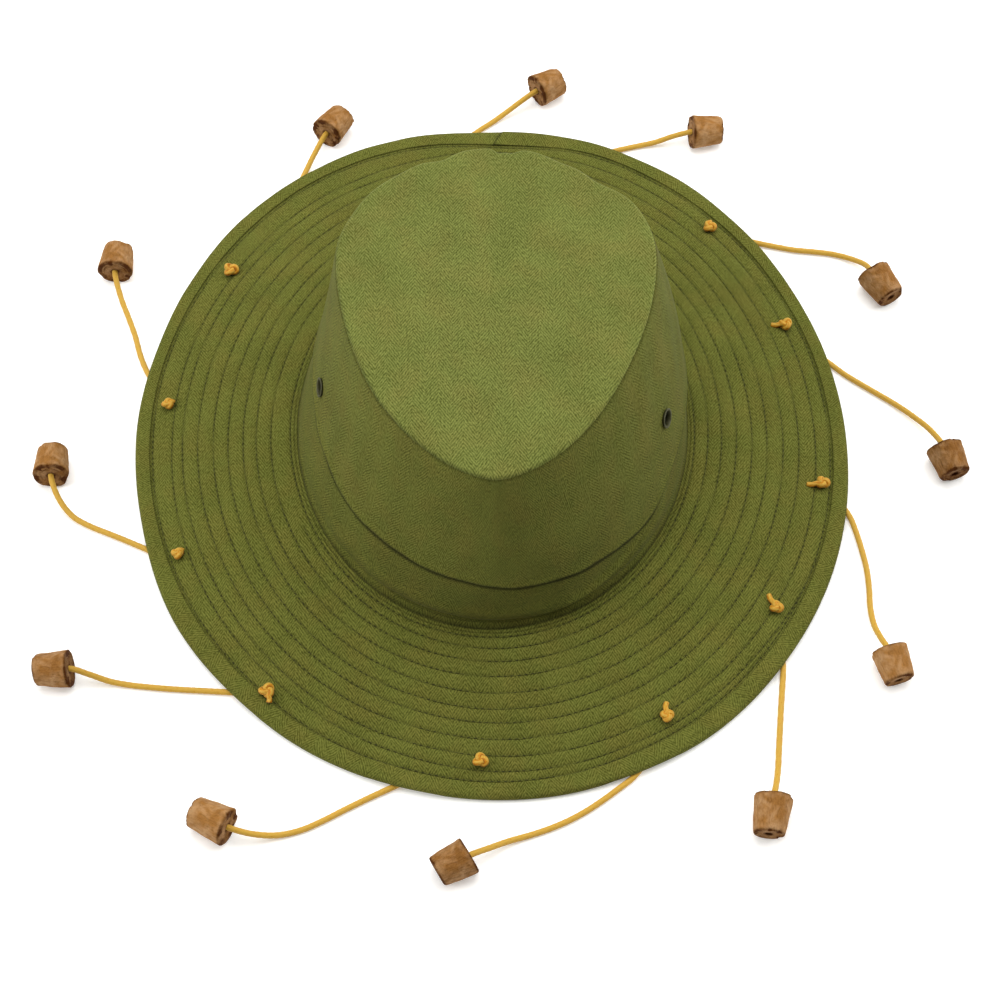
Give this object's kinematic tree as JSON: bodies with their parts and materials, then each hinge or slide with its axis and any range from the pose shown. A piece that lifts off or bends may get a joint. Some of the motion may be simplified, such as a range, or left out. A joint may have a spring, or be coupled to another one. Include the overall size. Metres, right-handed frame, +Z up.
{
  "type": "cork hat",
  "caption": "Wide-brimmed cloth sun hat with a spiral-stitched oval brim, a flat egg-shaped crown top and corks hung from the brim on knotted cords to keep flies away.",
  "frame": {"origin": "on the surface that the hat stands on, under the centre of the brim's outline", "axes": "+Z up, the front of the hat towards -Y, the wearer's left towards +X"},
  "size_m": [0.4339, 0.4419, 0.1188],
  "materials": {
    "cloth": "olive cotton herringbone cloth, matt",
    "pale_cloth": "lighter olive cotton herringbone cloth, matt",
    "binding": "olive cotton bias binding, matt",
    "eyelet": "dull olive enamel",
    "cord": "golden yellow braided cord",
    "cork": "bare natural cork"
  },
  "bodies": {
    "root": {"crown_tip": "pale_cloth", "crown_side": "cloth", "crown_band": "cloth", "brim": "cloth", "brim_binding": "binding", "vent_eyelet_left": "eyelet", "vent_eyelet_right": "eyelet", "knot_01": "cord", "cord_01": "cord", "cork_01": "cork", "knot_02": "cord", "cord_02": "cord", "cork_02": "cork", "knot_03": "cord", "cord_03": "cord", "cork_03": "cork", "knot_04": "cord", "cord_04": "cord", "cork_04": "cork", "knot_05": "cord", "cord_05": "cord", "cork_05": "cork", "knot_06": "cord", "cord_06": "cord", "cork_06": "cork", "knot_07": "cord", "cord_07": "cord", "cork_07": "cork", "knot_08": "cord", "cord_08": "cord", "cork_08": "cork", "knot_09": "cord", "cord_09": "cord", "cork_09": "cork", "knot_10": "cord", "cord_10": "cord", "cork_10": "cork", "knot_11": "cord", "cord_11": "cord", "cork_11": "cork", "knot_12": "cord", "cord_12": "cord", "cork_12": "cork"}
  },
  "joints": []
}
